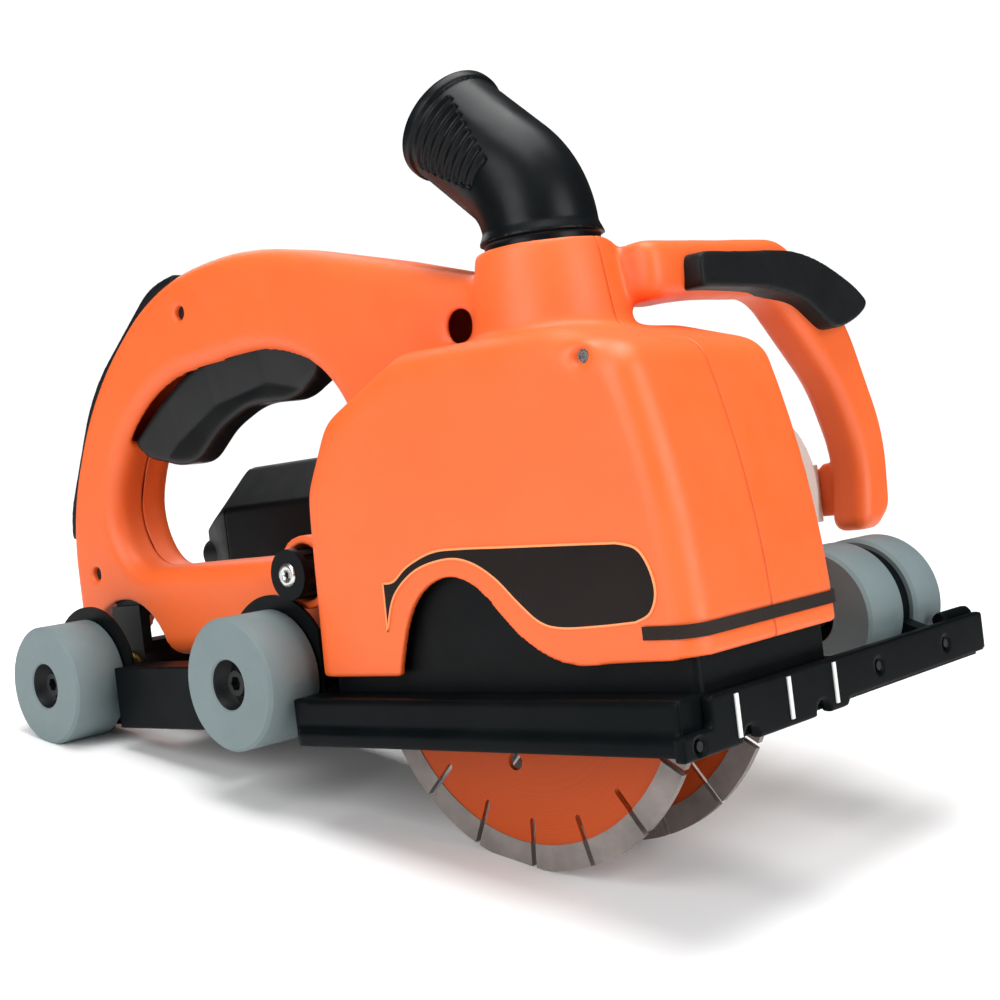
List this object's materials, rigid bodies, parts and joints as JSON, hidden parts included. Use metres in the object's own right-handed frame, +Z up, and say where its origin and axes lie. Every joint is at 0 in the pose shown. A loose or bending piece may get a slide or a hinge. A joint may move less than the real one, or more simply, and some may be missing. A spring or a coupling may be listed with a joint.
{
  "type": "wall chaser",
  "caption": "Twin-blade wall chaser with a plunging body on a wheeled base, D-shaped rear handle, front loop handle and swivelling dust elbow.",
  "frame": {"origin": "on the plane the wheels roll on, straight under the blade spindle and in the plane midway between the two blades", "axes": "+X forwards in the cutting direction (from the rear handle towards the guard), +Y from the near blade towards the motor side, +Z up away from the wall being cut; the wheels' lowest points lie at z = 0"},
  "size_m": [0.3905, 0.2218, 0.2876],
  "materials": {
    "blade_disc": "satin orange paint",
    "diamond_segments": "sintered, matte grey",
    "turned_steel": "turned",
    "gear_steel": "cut teeth, lightly oiled",
    "laminations": "stacked sheet, dull",
    "copper": "enamelled copper",
    "black_plastic": "fine moulded grain",
    "soft_black": "soft overmould",
    "carbon": "pressed carbon",
    "brass": "plain brass",
    "bearing_steel": "ground",
    "gear_head": "cast, light grey",
    "wheel_grey": "matte mid grey",
    "base_black": "satin black",
    "index_pale": "pale strip",
    "screw_steel": "zinc plated",
    "plate_steel": "blanked sheet steel",
    "orange_plastic": "satin moulded plastic",
    "vent_mesh": "woven filter strip",
    "decal_black": "smooth dark film with pale edge line",
    "trigger_black": "fine grain",
    "elbow_black": "satin black"
  },
  "bodies": {
    "base": {"sole_frame": "base_black", "front_plate": "base_black", "index_marks": "index_pale", "plate_screws": "screw_steel", "mudguards": "black_plastic", "wheel_bracket": "base_black", "dust_skirt": "black_plastic", "depth_plate": "plate_steel", "rear_axle": "turned_steel", "stub_axles": "turned_steel"},
    "machine": {"stator_core": "laminations", "field_windings": "copper", "motor_housing": "black_plastic", "motor_end_cap": "black_plastic", "cord_bush": "soft_black", "carbon_brushes": "carbon", "brush_holders": "brass", "ball_bearings": "bearing_steel", "gear_housing": "gear_head", "gear_cover": "gear_head", "body_shell_near": "orange_plastic", "body_shell_far": "orange_plastic", "shell_screws": "screw_steel", "vent_strip": "vent_mesh", "decal_panel": "decal_black", "rear_grip": "soft_black", "front_grip": "soft_black", "switch_body": "black_plastic", "front_handle_front": "orange_plastic", "front_handle_back": "orange_plastic", "pivot_hanger": "plate_steel", "pivot_bushes": "brass"},
    "spindle_group": {"spindle": "turned_steel", "inner_flange": "turned_steel", "blade_spacer": "turned_steel", "clamp_nut": "turned_steel", "blade_near_core": "blade_disc", "blade_near_segments": "diamond_segments", "blade_far_core": "blade_disc", "blade_far_segments": "diamond_segments", "driven_gear": "gear_steel"},
    "cross_group": {"cross_shaft": "gear_steel", "cross_gear": "gear_steel", "bevel_wheel": "gear_steel"},
    "rotor": {"rotor_shaft": "turned_steel", "rotor_core": "laminations", "rotor_windings": "copper", "commutator": "copper", "cooling_fan": "black_plastic", "bevel_pinion": "gear_steel"},
    "rear_near_wheel": {"wheel_rear_near": "wheel_grey"},
    "rear_far_wheel": {"wheel_rear_far": "wheel_grey"},
    "mid_wheel": {"wheel_mid_near": "wheel_grey"},
    "front_inner_wheel": {"wheel_front_inner": "wheel_grey"},
    "front_outer_wheel": {"wheel_front_outer": "wheel_grey"},
    "elbow": {"dust_elbow": "elbow_black"},
    "trigger_lever": {"trigger": "trigger_black"},
    "clamp_knob": {"depth_knob": "black_plastic", "clamp_plate": "screw_steel"},
    "lock_button": {"spindle_lock": "black_plastic"}
  },
  "joints": [
    {"name": "plunge", "type": "hinge", "parent": "base", "child": "machine", "pos_m": [-0.251, 0, 0.026], "axis": [0, -1, 0], "range_deg": [0, 11.5]},
    {"name": "spindle_spin", "type": "hinge", "parent": "machine", "child": "spindle_group", "pos_m": [0, 0, 0.0287], "axis": [0, 1, 0], "continuous": true},
    {"name": "cross_spin", "type": "hinge", "parent": "machine", "child": "cross_group", "pos_m": [-0.01, 0.06, 0.072], "axis": [0, 1, 0], "continuous": true},
    {"name": "rotor_spin", "type": "hinge", "parent": "machine", "child": "rotor", "pos_m": [-0.1, 0.104, 0.072], "axis": [1, 0, 0], "continuous": true},
    {"name": "rear_near_spin", "type": "hinge", "parent": "base", "child": "rear_near_wheel", "pos_m": [-0.251, -0.0475, 0.026], "axis": [0, 1, 0], "continuous": true},
    {"name": "rear_far_spin", "type": "hinge", "parent": "base", "child": "rear_far_wheel", "pos_m": [-0.251, 0.048, 0.026], "axis": [0, 1, 0], "continuous": true},
    {"name": "mid_spin", "type": "hinge", "parent": "base", "child": "mid_wheel", "pos_m": [-0.1195, -0.0475, 0.026], "axis": [0, 1, 0], "continuous": true},
    {"name": "front_inner_spin", "type": "hinge", "parent": "base", "child": "front_inner_wheel", "pos_m": [0.054, 0.0915, 0.026], "axis": [0, 1, 0], "continuous": true},
    {"name": "front_outer_spin", "type": "hinge", "parent": "base", "child": "front_outer_wheel", "pos_m": [0.054, 0.1235, 0.026], "axis": [0, 1, 0], "continuous": true},
    {"name": "elbow_swivel", "type": "hinge", "parent": "machine", "child": "elbow", "pos_m": [0.012, 0.002, 0.165], "axis": [0, 0, 1], "range_deg": [-170, 170]},
    {"name": "trigger_pull", "type": "hinge", "parent": "machine", "child": "trigger_lever", "pos_m": [-0.122, 0.002, 0.152], "axis": [0, 1, 0], "range_deg": [0, 4], "stiffness_Nm_per_rad": 1.2, "springref_deg": -8.59},
    {"name": "depth_clamp", "type": "hinge", "parent": "machine", "child": "clamp_knob", "pos_m": [-0.1025, -0.03, 0.065], "axis": [0, 1, 0], "range_deg": [-20, 160]},
    {"name": "lock_push", "type": "slide", "parent": "machine", "child": "lock_button", "axis": [0, 0, -1], "range_m": [0, 0.002], "stiffness_N_per_m": 300, "springref_m": -0.002}
  ],
  "couplings": [
    {"joint": "cross_spin", "follows": "spindle_spin", "ratio": -0.8125},
    {"joint": "rotor_spin", "follows": "spindle_spin", "ratio": 2.925}
  ]
}
